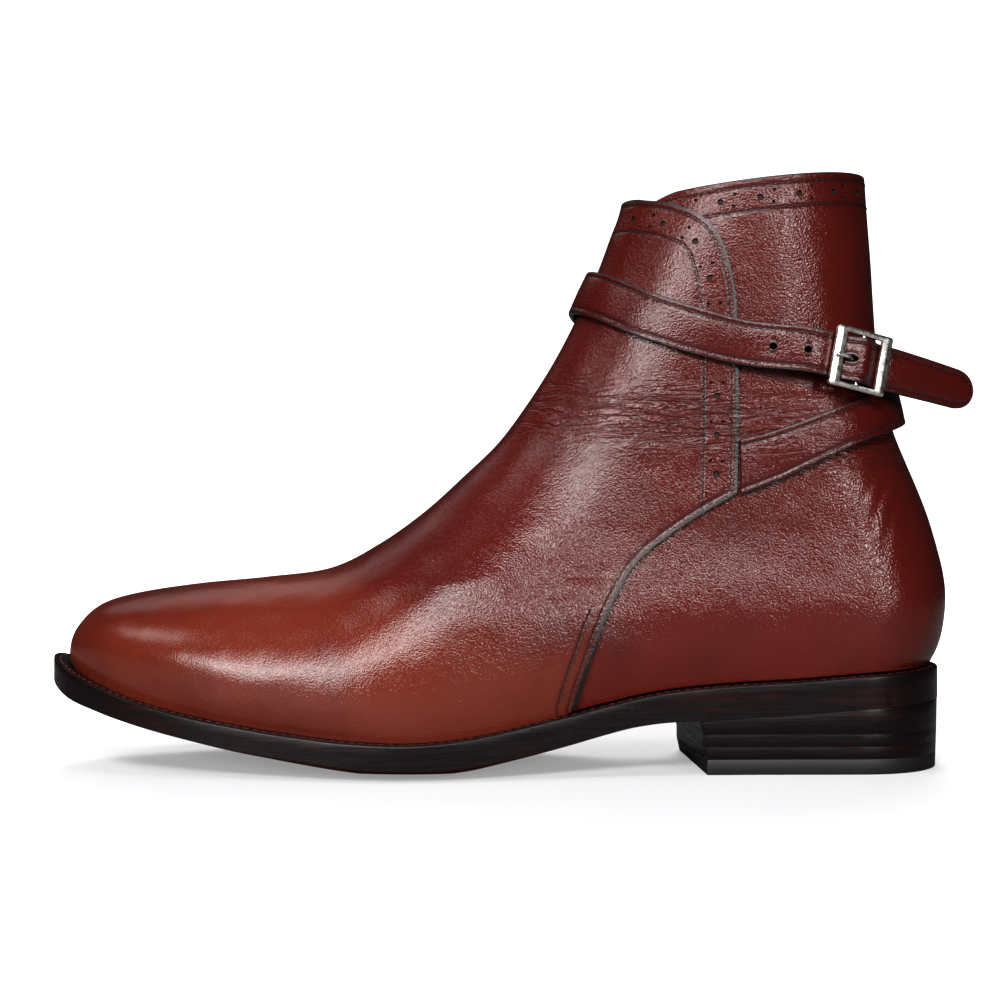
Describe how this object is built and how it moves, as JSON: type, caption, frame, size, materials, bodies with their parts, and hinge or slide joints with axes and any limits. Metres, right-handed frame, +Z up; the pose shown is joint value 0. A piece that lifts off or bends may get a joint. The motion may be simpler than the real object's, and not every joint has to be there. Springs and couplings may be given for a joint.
{
  "type": "jodhpur_boot",
  "caption": "Leather jodhpur ankle boot for the left foot, with a lapped front panel, an ankle strap that buckles on the outer side, and a low stacked heel.",
  "frame": {"origin": "centre of the heel's ground face", "axes": "+Z up from the floor, toe towards -X, outer side of the foot towards -Y"},
  "size_m": [0.3144, 0.1017, 0.2],
  "materials": {
    "quarter_leather": "polished oxblood brown, fine tumbled grain",
    "vamp_leather": "polished cognac brown, burnished at the toe",
    "strap_leather": "polished oxblood brown, edges stitched",
    "insole_leather": "smooth natural tan",
    "sole_leather": "near-black waxed edge",
    "heel_leather": "near-black waxed stack",
    "heel_rubber": "matt black",
    "buckle_metal": "polished bright nickel"
  },
  "bodies": {
    "root": {"upper": "quarter_leather", "front_panel": "vamp_leather", "strap": "strap_leather", "buckle_strap": "strap_leather", "buckle_frame": "buckle_metal", "buckle_prong": "buckle_metal", "insole": "insole_leather", "welt": "sole_leather", "outsole": "sole_leather", "heel_lift_1": "heel_leather", "heel_lift_2": "heel_leather", "heel_lift_3": "heel_leather", "heel_top_piece": "heel_rubber"}
  },
  "joints": []
}
